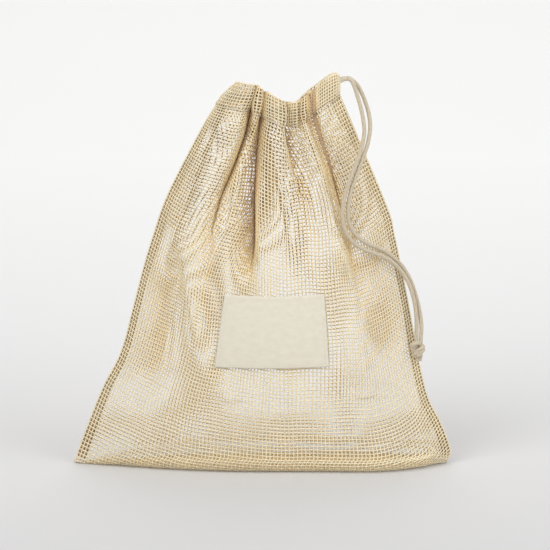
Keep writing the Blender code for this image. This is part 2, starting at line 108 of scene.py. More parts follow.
distance = add_node(paper_white, "MapRange", links=[("Value", spot.outputs["Y"])],
                    **{"From Min": -0.3, "From Max": 1.2, "To Min": 0.0, "To Max": 1.0})
connect(paper_white, shader, {"Base Color": colour_ramp(
    paper_white, distance.outputs["Result"], (0.0, (0.60, 0.60, 0.61)), (1.0, (0.945, 0.945, 0.945)))})
open_back = add_node(paper_white, "MixShader", links=[
    (0, add_node(paper_white, "NewGeometry").outputs["Backfacing"]), (1, shader.outputs["BSDF"]),
    (2, add_node(paper_white, "BsdfTransparent").outputs["BSDF"])])
connect(paper_white, paper_white.node_tree.nodes["Material Output"], {"Surface": open_back.outputs["Shader"]})
paper.data.materials.append(paper_white)

LAMP_AIM = Vector((0, 0, 0.13))
for name, place, size, power, tint in (
        ("key_light", (-0.9, -1.1, 1.5), 1.3, 18, (1.0, 0.985, 0.96)),
        ("fill_light", (1.3, -0.9, 0.9), 1.4, 12.5, (1.0, 0.99, 0.97)),
        ("back_light", (0.1, 1.0, 1.6), 1.4, 9, (1.0, 1.0, 1.0))):
    bpy.ops.object.light_add(type="AREA", location=place)
    lamp = bpy.context.object
    lamp.name = name
    lamp.data.size = size
    lamp.data.energy = power
    lamp.data.color = tint
    lamp.rotation_euler = (LAMP_AIM - Vector(place)).to_track_quat("-Z", "Y").to_euler()
world = bpy.data.worlds.new("white_surround")
scene.world = world
world.use_nodes = True
world.node_tree.nodes["Background"].inputs["Color"].default_value = (1, 1, 1, 1)
world.node_tree.nodes["Background"].inputs["Strength"].default_value = 0.53

CAMERA_DISTANCE = 5.0
CAMERA_ELEVATION = math.radians(12.5)
CAMERA_AIM = Vector((0.0094, 0, 0.150))
FRAME_WIDTH = 0.426  # width of the picture at the bag
SENSOR_WIDTH = 36  # millimetres
bpy.ops.object.camera_add()
camera = bpy.context.object
camera.data.sensor_width = SENSOR_WIDTH
camera.data.lens = SENSOR_WIDTH * CAMERA_DISTANCE / FRAME_WIDTH
camera.location = CAMERA_AIM + CAMERA_DISTANCE * Vector(
    (0, -math.cos(CAMERA_ELEVATION), math.sin(CAMERA_ELEVATION)))
camera.rotation_euler = (CAMERA_AIM - camera.location).to_track_quat("-Z", "Y").to_euler()
scene.camera = camera


# Drawstring: one round braided cotton cord. It runs through the casing from the exit at the right round
# the left end and back, and both its ends leave together, hang beside the bag and share an overhand knot.

CORD_RADIUS = 0.0016
BRAID_STRANDS = 8
BRAID_LAY = 0.0085  # length of one turn of a strand round the cord
BRAID_SIDES = 16  # points round the cord
BRAID_STEP = 0.0007  # from one ring of points to the next
BRAID_RELIEF = 0.02  # share of the radius that the strands stand out
CURVE_STEPS = 24  # from one given point of a smooth curve to the next


def at_shares(line, shares):
    """The points of the line at these shares of its length."""
    line = np.asarray(line, float)
    reached = np.concatenate([[0], np.cumsum(np.linalg.norm(np.diff(line[:, :3], axis=0), axis=1))])
    wanted = np.asarray(shares) * reached[-1]
    return np.stack([np.interp(wanted, reached, line[:, axis]) for axis in range(line.shape[1])], axis=1)


def even_steps(line, count):
    """The line with count points at equal steps of its length."""
    return at_shares(line, np.linspace(0, 1, count))


def line_length(line):
    return float(np.linalg.norm(np.diff(np.asarray(line), axis=0), axis=1).sum())


def smooth_path(points, count):
    """count points at equal steps along a smooth curve through the given points."""
    points = np.asarray(points, float)
    padded = np.vstack([2 * points[0] - points[1], points, 2 * points[-1] - points[-2]])
    fine = []
    for before, start, end, after in zip(padded, padded[1:], padded[2:], padded[3:]):
        for t in np.arange(CURVE_STEPS) / CURVE_STEPS:
            fine.append(0.5 * (2 * start + (end - before) * t
                               + (2 * before - 5 * start + 4 * end - after) * t ** 2
                               + (3 * (start - end) + after - before) * t ** 3))
    return even_steps(fine + [points[-1]], count)


def mesh_piece(name, points, faces, material, attribute, values):
    """A smooth mesh of one material, with a value at each point for its shader."""
    mesh = bpy.data.meshes.new(name)
    mesh.from_pydata(points.tolist(), [], faces)
    held = mesh.attributes.new(attribute, "FLOAT", "POINT")
    held.data.foreach_set("value", values.ravel().astype(np.float32))
    mesh.shade_smooth()
    mesh.materials.append(material)
    piece = bpy.data.objects.new(name, mesh)
    scene.collection.objects.link(piece)
    return piece


def braided_tube(name, line, material, radius=CORD_RADIUS):
    """A tube along the line whose skin has the low diamond relief of a round braid."""
    steps = max(int(line_length(line) / BRAID_STEP), 8)
    path = even_steps(line, steps + 1)
    ahead = np.gradient(path, axis=0)
    ahead /= np.linalg.norm(ahead, axis=1)[:, None]
    across = np.zeros_like(path)
    start = np.cross(ahead[0], (0.0, 1.0, 0.0))
    if np.linalg.norm(start) < 0.2:
        start = np.cross(ahead[0], (1.0, 0.0, 0.0))
    across[0] = start / np.linalg.norm(start)
    for i in range(1, len(path)):
        leaning = across[i - 1] - ahead[i] * np.dot(across[i - 1], ahead[i])
        across[i] = leaning / np.linalg.norm(leaning)
    over = np.cross(ahead, across)
    turn = np.linspace(0, 2 * np.pi, BRAID_SIDES, endpoint=False)
    along = np.linspace(0, line_length(line), steps + 1)[:, None]
    twist = 2 * np.pi * along / BRAID_LAY
    right = np.cos(BRAID_STRANDS / 2 * turn + twist)
    left = np.cos(BRAID_STRANDS / 2 * turn - twist)
    relief = np.maximum(right, left) - 0.5
    swell = radius * (0.99 + BRAID_RELIEF * relief)
    rings = (path[:, None, :] + swell[:, :, None] * (np.cos(turn)[None, :, None] * across[:, None, :]
                                                    + np.sin(turn)[None, :, None] * over[:, None, :]))
    faces = []
    for i in range(steps):
        for k in range(BRAID_SIDES):
            a, b = i * BRAID_SIDES + k, i * BRAID_SIDES + (k + 1) % BRAID_SIDES
            faces.append((a, b, b + BRAID_SIDES, a + BRAID_SIDES))
    faces.append(tuple(reversed(range(BRAID_SIDES))))
    faces.append(tuple(range(steps * BRAID_SIDES, (steps + 1) * BRAID_SIDES)))
    return mesh_piece(name, rings.reshape(-1, 3), faces, material, "relief", np.clip(0.5 + relief, 0, 1))


def object_noise(material, scale, detail):
    """Noise in the object's own space."""
    return add_node(material, "TexNoise", Scale=scale, Detail=detail, links=[
        ("Vector", add_node(material, "TexCoord").outputs["Object"])]).outputs["Fac"]


def weighted_sum(material, part, weight, rest):
    """The part times its weight, plus the rest."""
    node = add_node(material, "Math", operation="MULTIPLY_ADD", links=[(0, part), (2, rest)])
    node.inputs[1].default_value = weight
    return node.outputs["Value"]


cord_cotton, shader = material_with(
    "cord_cotton", {"Roughness": 0.85, "Sheen Weight": 0.25, "Sheen Roughness": 0.6})
# The colour follows the braid's relief and is darker in its grooves: painted shade between the strands. The
# fibre noise adds random tone.
relief = add_node(cord_cotton, "Attribute", attribute_name="relief")
fibre = object_noise(cord_cotton, 900.0, 4.0)
tone = weighted_sum(cord_cotton, fibre, 0.5, relief.outputs["Fac"])
shade = colour_ramp(cord_cotton, tone, (0.15, (0.47, 0.40, 0.29)), (0.95, (0.60, 0.52, 0.39)))
fuzz = add_node(cord_cotton, "Bump", Strength=0.2, Distance=0.0002, links=[("Height", fibre)])
connect(cord_cotton, shader, {"Base Color": shade, "Normal": fuzz.outputs["Normal"]})

LEAD_RISE = math.radians(35)
LEAD_AXIS = np.array([math.cos(LEAD_RISE), 0, math.sin(LEAD_RISE)])
LEAD_LENGTH = 0.0354
LEAD_START_X = 0.030  # from here to the exit the casing is straight
EXIT_STRAIGHT = 0.001  # the cord first runs straight out of the casing this far,
EXIT_BEND = 0.008  # then bends over with this radius
EXIT_LEVEL = 0.0006  # and goes on level this far
BEND_STEPS = 6
CHANNEL_Y = 0.0032  # half the distance between the two channels at the exit
STRAND_Y = 0.0018  # half the distance between strands that lie together
MOUTH_LOW, MOUTH_LOW_Z = 0.020, 0.279  # lowest point of the mouth
lead_start = np.array([LEAD_START_X, 0,
                       MOUTH_LOW_Z + math.tan(LEAD_RISE) * (LEAD_START_X - MOUTH_LOW) / 2])
exit_point = lead_start + LEAD_AXIS * LEAD_LENGTH
leads, tails = {}, {}
for side, name in ((-1, "front"), (1, "back")):
    out = exit_point + LEAD_AXIS * EXIT_STRAIGHT
    line = [lead_start, (lead_start + out) / 2, out]
    for step in range(1, BEND_STEPS + 1):
        turn = LEAD_RISE * step / BEND_STEPS
        line.append(out + EXIT_BEND * np.array([math.sin(LEAD_RISE) - math.sin(LEAD_RISE - turn), 0,
                                                math.cos(LEAD_RISE - turn) - math.cos(LEAD_RISE)]))
    line.append(line[-1] + np.array([EXIT_LEVEL, 0, 0]))
    line = np.array(line)
    drawn = np.arange(1, BEND_STEPS + 1) / BEND_STEPS
    line[:3, 1] = side * CHANNEL_Y
    line[3:-1, 1] = side * (CHANNEL_Y + (STRAND_Y - CHANNEL_Y) * drawn ** 2 * (3 - 2 * drawn))
    line[-1, 1] = side * STRAND_Y
    leads[name] = line
    piece = braided_tube("cord_lead_" + name, line, cord_cotton)
    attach(piece, "drawstring_lead")
    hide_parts("drawstring_lead_" + name)

KNOT_TOP = np.array([0.1205, -0.0105, 0.0992])
KNOT_SINK, KNOT_STRAIGHT = 0.001, 0.0036  # how far the strands reach into the knot, and run straight to it
STRAND_JOIN = 0.0001  # from the end of a strand at the exit to the start of its free part
routes = {
    "front": [
        (0.0697, -0.0030, 0.3012), (0.0724, -0.0050, 0.2935), (0.0754, -0.0080, 0.2835),
        (0.0774, -0.0110, 0.2735),
        (0.0780, -0.0138, 0.2650), (0.0758, -0.0175, 0.2535), (0.0715, -0.0212, 0.2415),
        (0.0665, -0.0243, 0.2290), (0.0625, -0.0262, 0.2160), (0.0612, -0.0270, 0.2030),
        (0.0635, -0.0268, 0.1910), (0.0695, -0.0254, 0.1815), (0.0785, -0.0226, 0.1750),
        (0.0890, -0.0185, 0.1702), (0.0985, -0.0140, 0.1645), (0.1065, -0.0108, 0.1560),
        (0.1130, -0.0098, 0.1450), (0.1170, -0.0098, 0.1320), (0.1188, -0.0102, 0.1190),
        (0.1190, -0.0105, 0.1100)],
    "back": [
        (0.0718, 0.0010, 0.3008), (0.0757, 0.0003, 0.2945), (0.0790, -0.0010, 0.2865),
        (0.0816, -0.0045, 0.2780),
        (0.0826, -0.0098, 0.2680), (0.0806, -0.0146, 0.2565), (0.0762, -0.0186, 0.2440),
        (0.0711, -0.0220, 0.2310), (0.0670, -0.0243, 0.2180), (0.0656, -0.0251, 0.2045),
        (0.0672, -0.0249, 0.1945), (0.0722, -0.0235, 0.1862), (0.0800, -0.0208, 0.1798),
        (0.0900, -0.0160, 0.1745), (0.0988, -0.0112, 0.1680), (0.1074, -0.0074, 0.1590),
        (0.1142, -0.0062, 0.1472), (0.1188, -0.0064, 0.1337), (0.1218, -0.0080, 0.1205),
        (0.1228, -0.0098, 0.1100)]}
for side, name in ((-1, "front"), (1, "back")):
    begin = leads[name][-1] + np.array([STRAND_JOIN, 0, 0])
    into_knot = KNOT_TOP + np.array([side * STRAND_Y, 0, -KNOT_SINK])
    line = smooth_path([begin, begin + np.array([CORD_RADIUS, 0, 0]), *routes[name],
                        into_knot + np.array([0, 0, KNOT_STRAIGHT]), into_knot], 160)
    tails[name] = line
    piece = braided_tube("cord_tail_" + name, line, cord_cotton)
    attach(piece, "drawstring_tails")
    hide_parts("drawstring_tail_" + name)

# Overhand knot tied with both strands at once: the pair turns out into an ear at the upper left, winds
# round itself in two slanting double wraps and comes out below with short cut ends.

WRAP_RADIUS = 0.0026
WRAP_TURNS, WRAP_STEPS = 1.75, 14
WRAP_TOP, WRAP_BOTTOM = -0.0048, -0.0092  # from the top of the knot
WRAP_TILT = 0.0014  # how far each turn slants
PAIR_HALF = 0.0015  # half the distance between the two strands of the pair


def knot_strand(shift):
    """The line of one strand of the wrap, from the ear at the upper left round to the cut end."""
    line = [(0.0008, -0.0006, -0.0010), (-0.0012, -0.0022, -0.0004), (-0.0036, -0.0026, -0.0016),
            (-0.0048, -0.0012, -0.0040)]
    for step in range(WRAP_STEPS + 1):
        share = step / WRAP_STEPS
        angle = math.pi * 0.98 + 2 * math.pi * WRAP_TURNS * share
        line.append((WRAP_RADIUS * 1.2 * math.cos(angle), WRAP_RADIUS * math.sin(angle) * -1,
                     WRAP_TOP + (WRAP_BOTTOM - WRAP_TOP) * share + WRAP_TILT * math.cos(angle)))
    line += [(0.0010, 0.0010, -0.0112), (0.0004, 0.0002, -0.0128), (0.0003, 0.0, -0.0150)]
    return [KNOT_TOP + np.array(place) + np.array([shift, 0, 0]) * min(1.0, 0.25 + index * 0.02)
            + np.array([0, 0, shift * 0.8]) * (3 < index < 19)
            for index, place in enumerate(line)]


knot_pieces = []
for name, shift in (("upper", PAIR_HALF), ("lower", -PAIR_HALF)):
    knot_pieces.append(braided_tube("knot_strand_" + name, smooth_path(knot_strand(shift), 120), cord_cotton,
                                    radius=CORD_RADIUS * 0.96))
for name, side in (("left", -1), ("right", 1)):
    core = smooth_path([KNOT_TOP + np.array([side * STRAND_Y, 0, -0.0011]),
                        KNOT_TOP + np.array([side * 0.0014, 0, -0.0060]),
                        KNOT_TOP + np.array([side * 0.0012, 0, -0.0105])], 24)
    knot_pieces.append(braided_tube("knot_core_" + name, core, cord_cotton, radius=CORD_RADIUS * 0.9))
bpy.ops.object.select_all(action="DESELECT")
for piece in knot_pieces:
    piece.select_set(True)
bpy.context.view_layer.objects.active = knot_pieces[0]
bpy.ops.object.join()
knot = bpy.context.object
knot.name = "overhand_knot"
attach(knot, "drawstring_tails")
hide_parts("drawstring_knot")
for name in tails:
    line = tails[name]
    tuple(line[0])
    line_length(line)


# Body: one length of open natural cotton netting, folded at the base and gathered towards the mouth.
# Each yarn is a separate thin thread, passing over and under the ones it crosses.

PITCH = 0.00275  # from one yarn to the next
YARN_RADIUS = 0.00047
YARN_UNEVEN = 0.05  # how much a yarn's thickness varies, as a share of it
YARN_STRAY = 0.00004  # how far crossing points stray
WEAVE = 0.00026  # how far a yarn rises over or dips under the ones it crosses
FLOOR_Z = YARN_RADIUS * 1.6  # height of the yarns under the base
COLUMNS = 100
ROWS = 108
CLOTH_WIDTH = COLUMNS * PITCH
CLOTH_USED = 0.97  # share of the cloth's width that the folds may take up
FOLD_LIMIT = 1.0  # most that a fold may be deepened
FOLD_FOOT, FOLD_FADE = 0.038, 0.055  # height at which the folds end, and over which they fade
RIPPLE = 0.0008  # height of the small ripples at the lower right
COLUMN_STIFFNESS = 0.06  # share of the height over which a yarn keeps its course
TUCK_WIDTH = 0.002  # share of the width over which yarns crowd in a tuck
TUCK_FOOT, TUCK_RISE = 0.145, 0.080  # height above which cloth is tucked away, and over which that sets in
CROWDED = 0.6  # share of the pitch below which crowded yarns get painted shade,
CROWDED_SHADE = 2.8  # and by how much: most above SHADE_FOOT plus SHADE_RISE,
SHADE_FOOT, SHADE_RISE = 0.17, 0.09
SHADE_LEAST = 0.35  # and least, by this share, below
SLIT_HALF = 0.0011  # half the width of the slit that a tuck leaves
SLIT_ROOM = 0.002  # where it stops short of the middle of the bag
CREASE_DEPTH = 0.005  # depth in a crease at which its yarns are painted one shade darker, as painted shade
DARKEST = 3  # most painted shades that a crease adds
LEFT_CLIMB, RIGHT_EASE = 0.048, 0.025  # how far rows rise at the left seam and drop at the right one
CLIMB_REACH = 0.18
BACK_SAG = 0.05
REGISTER_WAVES, REGISTER_SMOOTHING = 5, 300  # how gently the back is laid in register with the front
REGISTER_LIMIT, REGISTER_STRAY, REGISTER_EDGE = 0.9, 1.5, 3  # in meshes
CLOSED_FOOT, CLOSED_RISE = 0.84, 0.06  # shares of height and width where the nets close under the mouth
CLOSED_END, CLOSED_FADE = 0.62, 0.12
SEAM_HALF = 0.0015  # from the middle of a side seam to each panel
LEFT_STILL, RIGHT_STILL = 0.07, 0.05  # shares of the width over which folds fade out at the seams
CASING_HEIGHT = 0.021
HEM_DROP = 0.0108  # from the cord line down to the hem stitching
BASE_DEPTH, BELLY_DEPTH, BELLY_LEVEL, MOUTH_DEPTH = 0.034, 0.040, 0.32, 0.0155
FILLET, FILLET_SHARE = 0.010, 0.6  # roll from base to wall, and its largest share of the depth
GATHER_FOOT, GATHER_RISE = 0.55, 0.45  # shares of the height where the gathers set in, and over which
CORNER_SWELL = 0.015  # how much fuller the lower right corner is, and the shares where that fades
CORNER_PLACE, CORNER_REACH, CORNER_EDGE, CORNER_RISE = 0.86, 0.17, 0.06, 0.1
MOUTH_LEFT, MOUTH_WIDE = -0.028, -0.004
MOUTH_LEFT_Z, MOUTH_HUMP = 0.2945, 0.0045
CASING_LEAN, CASING_SINK, LEAN_REACH = 0.7, 0.1, 0.034
LABEL_X, LABEL_Z = 0.0070, 0.114  # middle of the label
LABEL_HOLD_X, LABEL_HOLD_Z = 0.060, 0.046  # how far from there it keeps the cloth flat
left_seam = smooth_path([
    (-0.147, 0.0008), (-0.1368, 0.029), (-0.1240, 0.061), (-0.1130, 0.082), (-0.1065, 0.100),
    (-0.1005, 0.124), (-0.0928, 0.154), (-0.0852, 0.180), (-0.0728, 0.215), (-0.0468, 0.266),
    (MOUTH_LEFT - CASING_LEAN * HEM_DROP, MOUTH_LEFT_Z - (1 - CASING_SINK) * HEM_DROP)], 121)
right_seam = smooth_path([
    (0.1425, 0.0008), (0.1460, 0.008), (0.1432, 0.020), (0.1370, 0.035), (0.1280, 0.053),
    (0.1205, 0.084), (0.1125, 0.128), (0.1018, 0.181), (0.0950, 0.206),
    (exit_point[0], exit_point[2] - HEM_DROP)], 121)


def ease(t):
    t = np.clip(t, 0, 1)
    return t * t * (3 - 2 * t)


def mouth_half():
    """The cord line of one half of the mouth from its left end to the exit: x, depth and height."""
    turn = np.linspace(0, np.pi / 2, 60)
    x = np.concatenate([MOUTH_WIDE - (MOUTH_WIDE - MOUTH_LEFT) * np.cos(turn),
                        np.linspace(MOUTH_WIDE, lead_start[0], 40)[1:],
                        np.linspace(lead_start[0], exit_point[0], 30)[1:]])
    round_end = np.sqrt(np.clip(1 - ((x - MOUTH_WIDE) / (MOUTH_WIDE - MOUTH_LEFT)) ** 2, 0, 1))
    narrowed = ease((x - MOUTH_WIDE) / (lead_start[0] - MOUTH_WIDE))
    depth = np.where(x < MOUTH_WIDE, MOUTH_DEPTH * round_end,
                     MOUTH_DEPTH + (CHANNEL_Y - MOUTH_DEPTH) * narrowed)
    slope, bend = math.tan(LEAD_RISE), lead_start[0] - MOUTH_LOW
    share = (x - MOUTH_LEFT) / (MOUTH_LOW - MOUTH_LEFT)
    hump = MOUTH_LEFT_Z + (MOUTH_LOW_Z - MOUTH_LEFT_Z) * ease(share) + MOUTH_HUMP * np.sin(np.pi * share) ** 2
    height = np.where(x < MOUTH_LOW, hump,
                      np.where(x < lead_start[0], MOUTH_LOW_Z + slope * (x - MOUTH_LOW) ** 2 / (2 * bend),
                               MOUTH_LOW_Z + slope * bend / 2 + slope * (x - lead_start[0])))
    return np.stack([x, depth, height], axis=1)


FINE = 1200
mouth = even_steps(mouth_half(), FINE)
across = np.linspace(0, 1, FINE)
casing_up = np.zeros((FINE, 3))
leaning = 1 - ease((mouth[:, 0] - MOUTH_LEFT) / LEAN_REACH)
casing_up[:, 0], casing_up[:, 2] = CASING_LEAN * leaning, 1 - CASING_SINK * leaning
hem_line = mouth - HEM_DROP * casing_up

# The larger folds of each panel, by the line that each follows down the cloth: height, sideways place,
# how far it stands out, and its reach to the left and to the right, in millimetres.
front_folds = [
    [(285, -20, 4, 10, 8), (257, -28, 6, 12, 11), (239, -36, 7, 14, 12), (222, -40, 7, 14, 12),
     (195, -44, 7, 14, 10), (169, -47, 5, 14, 10), (140, -49, 2, 14, 12), (120, -50, 0, 14, 14)],
    [(285, -9, -7, 3, 2.5), (270, -10, -6, 3, 2.5), (255, -13, -3, 4, 4), (240, -15, 0, 6, 6)],
    [(285, -4, 3, 3, 3), (262, -7, 2, 5, 4), (245, -10, 0, 6, 5)],
    [(285, 1.5, -10, 3, 2), (262, -1, -11, 7, 2.2), (240, -3, -13, 11, 2.2), (209, -7, -14, 13, 2.5),
     (179, -8, -11, 13, 3.5), (150, -11, -5, 14, 7), (120, -14, 0, 16, 12)],
    [(285, 10.5, 6, 5, 5), (262, 10, 7, 7, 6.5), (240, 10, 7, 11, 10), (205, 14, 6, 18, 18),
     (160, 16, 4, 24, 24), (110, 12, 0, 30, 30)],
    [(285, 17.5, -10, 2.2, 2.2), (262, 19, -10, 2.2, 3), (245, 23, -8, 3, 4.5), (225, 29, -6, 5, 6),
     (195, 36, -4, 8, 8), (165, 40, -2, 10, 10), (140, 44, 0, 12, 12)],
    [(285, 28.5, -6, 1.8, 1.8), (268, 29, -5, 2, 2), (250, 32, 0, 3, 3)],
    [(285, 33.5, 4, 3.5, 3), (268, 36, 3, 3.5, 3), (250, 44, 0, 4, 4)],
    [(285, 24, 5, 4, 4), (265, 32, 6, 5, 5), (250, 38, 6, 6, 6), (234, 44, 7, 6, 8), (211, 49, 8, 6, 11),
     (179, 54, 8, 6, 13), (142, 59, 8, 6, 14), (116, 63, 7, 7, 14), (81, 70, 6, 8, 14),
     (52, 83, 4, 12, 15), (32, 97, 2, 16, 18), (10, 108, 0, 20, 20)],
    [(284, 39, -11, 3, 2.2), (272, 40, -11, 3.5, 2.5), (255, 46, -8, 4, 3), (235, 53, -7, 4, 4),
     (205, 61, -6, 5, 5), (170, 69, -5, 6, 6), (130, 77, -2, 8, 8), (100, 84, 0, 10, 10)],
    [(285, -9.5, -4, 3, 2.5), (262, -14, -8, 4, 3), (240, -22, -8, 4, 3), (215, -33, -7, 5, 4),
     (190, -40, -6, 5, 5), (160, -42, -5, 5, 6), (120, -40, -3, 6, 8), (90, -30, 0, 8, 8)],
    [(295, 50, 1.5, 7, 9), (265, 58, 3, 9, 10), (230, 70, 3, 10, 12), (180, 84, 2, 12, 14),
     (140, 92, 0, 16, 16)],
    [(230, -76, 0, 8, 8), (200, -66, 3, 8, 9), (183, -61, 5, 7, 10), (158, -56, 7, 6, 12),
     (126, -51, 8, 6, 13), (103, -48, 7, 7, 14), (76, -39, 5.5, 8, 15), (47, -13, 5, 10, 16),
     (34, 8, 4, 12, 18), (15, 30, 0, 16, 20)],
    [(190, -82, 0, 10, 10), (150, -78, -3, 10, 10), (110, -80, -4, 12, 12), (70, -85, -3, 14, 14),
     (40, -80, 0, 16, 16)],
    [(190, 80, 0, 10, 10), (165, 84, -1.5, 11, 11), (110, 92, -2, 14, 14), (60, 108, -1, 14, 14),
     (25, 115, 0, 14, 14)],
]
back_folds = [
    [(285, -24, 6, 8, 6), (250, -34, 7, 11, 10), (190, -54, 7, 18, 16), (90, -78, 3, 28, 28),
     (20, -90, 0, 30, 30)],
    [(285, -14, -8, 4, 4), (250, -20, -9, 8, 8), (190, -30, -8, 13, 13), (110, -40, -4, 20, 20),
     (40, -50, 0, 24, 24)],
    [(285, -5, 6, 4, 4), (250, -5, 8, 8, 8), (190, -6, 8, 14, 14), (100, -10, 4, 24, 24),
     (30, -12, 0, 28, 28)],
    [(285, 4, -7, 3, 3), (250, 10, -8, 7, 7), (190, 18, -7, 12, 12), (110, 26, -3, 20, 20),
     (40, 34, 0, 24, 24)],
    [(285, 13, 6, 4, 4), (250, 24, 7, 7, 7), (190, 40, 6, 14, 14), (100, 58, 3, 22, 22),
     (30, 70, 0, 26, 26)],
    [(285, 21, -3, 3, 3), (250, 38, -4, 6, 6), (190, 62, -5, 12, 12), (110, 86, -3, 18, 18),
     (40, 100, 0, 22, 22)],
    [(285, 28, 3, 4, 4), (250, 54, 3, 7, 8), (190, 80, 2, 10, 10), (130, 95, 0, 12, 12)],
]

# Yarns that run down the ridge of a pleat: which one, counted from the left seam, and its course in
# millimetres of height and sideways place.
front_courses = [
    (55, [(285, 10.5), (262, 10), (240, 10), (205, 12), (160, 13), (110, 13), (0, 14)]),
    (70, [(285, 24), (265, 32), (250, 38), (234, 43), (211, 47), (179, 52), (142, 56), (116, 59),
          (81, 61), (0, 60)]),
]
back_courses = [
    (21, [(285, -24), (250, -34), (190, -54), (90, -76), (0, -84)]),
    (46, [(285, -5), (250, -5), (190, -6), (100, -10), (0, -12)]),
    (72, [(285, 13), (250, 24), (190, 40), (100, 56), (0, 64)]),
]

# Lines along which the rest of the cloth is tucked away between those yarns: the share of it that each
# takes, and its course.
front_tucks = [
    [(0.22, [(285, -9.5), (262, -14), (240, -22), (215, -33), (190, -40), (160, -42), (120, -40),
             (80, -26), (0, -20)]),
     (0.78, [(285, 2), (262, -0.7), (240, -2.5), (209, -6), (179, -7), (150, -10), (120, -12),
             (0, -12)])],
    [(1.0, [(285, 17.5), (262, 19), (245, 23), (225, 28), (195, 34), (165, 39), (130, 43), (80, 45),
            (0, 45)])],
    [(0.15, [(285, 29), (270, 34.5), (255, 41), (235, 48), (205, 54), (170, 60), (130, 68), (90, 75),
             (0, 85)]),
     (0.3, [(284, 39), (272, 40), (255, 46), (235, 53), (205, 61), (170, 69), (130, 77), (90, 86),
            (0, 100)])],
]
back_tucks = [
    [(1.0, [(285, -31), (250, -44), (190, -64), (110, -88), (0, -110)])],
    [(1.0, [(285, -14), (250, -20), (190, -30), (110, -40), (0, -50)])],
    [(1.0, [(285, 4), (250, 10), (190, 18), (110, 26), (0, 34)])],
    [(1.0, [(285, 21), (250, 38), (190, 62), (110, 86), (0, 100)])],
]


def fold_height(folds, x, z):
    """How far the folds stand out of the smooth bag at these places, and how deep in a crease each one is."""
    total, crease = np.zeros_like(x), np.zeros_like(x)
    for fold in folds:
        levels, middle, out, to_left, to_right = np.array(sorted(fold)).T / 1000
        away = x - np.interp(z, levels, middle)
        reach = np.where(away < 0, np.interp(z, levels, to_left), np.interp(z, levels, to_right))
        height = np.interp(z, levels, out) * np.exp(-(away / reach) ** 2)
        total += height
        crease += np.maximum(-height, 0)
    fade = ease((z - FOLD_FOOT) / FOLD_FADE)
    ripple = np.exp(-((x - 0.070) / 0.045) ** 2 - ((z - 0.042) / 0.022) ** 2)
    return total * fade + RIPPLE * ripple * np.sin(z / 0.0019 + x / 0.012), crease * fade


def on_line(line, share):
    shares = np.linspace(0, 1, len(line))
    return np.array([np.interp(share, shares, line[:, axis]) for axis in range(line.shape[1])])


def outward_of(row):
    tangent = np.gradient(row[:, :2], axis=0)
    tangent /= np.linalg.norm(tangent, axis=1)[:, None] + 1e-12
    return np.stack([-tangent[:, 1], tangent[:, 0]], axis=1)


def folded(base, folds, still, source):
    """The row with its folds, which deepen until they take up the width of the cloth, and its creases.
    The folds are those that the cloth has at the source row."""
    outward = outward_of(base)
    bump, crease = (height * still for height in fold_height(folds, source[:, 0], source[:, 2]))
    low, high = 0.0, FOLD_LIMIT
    for _ in range(20):
        scale = (low + high) / 2
        row = base.copy()
        row[:, :2] += outward * (bump * scale)[:, None]
        if line_length(row[:, :2]) < CLOTH_WIDTH * CLOTH_USED:
            low = scale
        else:
            high = scale
    return row, crease * scale


def run_of(row):
    """The distance along a row from its left end."""
    return np.concatenate([[0], np.cumsum(np.linalg.norm(np.diff(row[:, :2], axis=0), axis=1))])


def place_of(course, base):
    levels, middle = np.array(sorted(course)).T / 1000
    return np.interp(0, base[:, 0] - np.interp(base[:, 2], levels, middle), across)


def sections(base, row, courses, tucks):
    """The parts of a row between the yarns that have a set course: their yarns, ends and tucks, and the
    length of cloth that the folds leave over."""
    pins = [(0, 0.0), *((column, place_of(course, base)) for column, course in courses), (COLUMNS, 1.0)]
    tucked = ease((base[FINE // 2, 2] - TUCK_FOOT) / TUCK_RISE)
    for (first, start), (last, end), group in zip(pins, pins[1:], tucks):
        spare = (last - first) * PITCH - np.diff(np.interp([start, end], across, run_of(row)))[0]
        yield first, last, start, end, group, max(spare, 0.0) * tucked


def tuck_slits(base, row, courses, tucks):
    """How far the row is drawn inwards by the narrow slit of each tuck, short of the middle of the bag."""
    run, slit = run_of(base), np.zeros(FINE)
    for *_, group, spare in sections(base, row, courses, tucks):
        for part, course in group:
            place = place_of(course, base)
            room = np.interp(place, across, row[:, 1]) - SLIT_ROOM
            away = (run - np.interp(place, across, run)) / SLIT_HALF
            slit += min(part * spare / 2, max(room, 0.0)) * np.exp(-away ** 2)
    return slit


def column_places(base, row, courses, tucks):
    """Where each yarn crosses the row, as a share of its width. Some yarns have a set course down the
    cloth. Between them the others keep their distance, and what the folds leave over is in the tucks."""
    places = [0.0]
    for first, last, start, end, group, spare in sections(base, row, courses, tucks):
        reached = run_of(row)
        for part, course in group:
            reached += part * spare * (1 + np.tanh((across - place_of(course, base)) / TUCK_WIDTH)) / 2
        wanted = np.linspace(*np.interp([start, end], across, reached), last - first + 1)
        places += list(np.interp(wanted[1:], reached, across))
    return np.array(places)


def at_places(row, places):
    return np.stack([np.interp(places, across, row[:, axis]) for axis in range(row.shape[1])], axis=1)


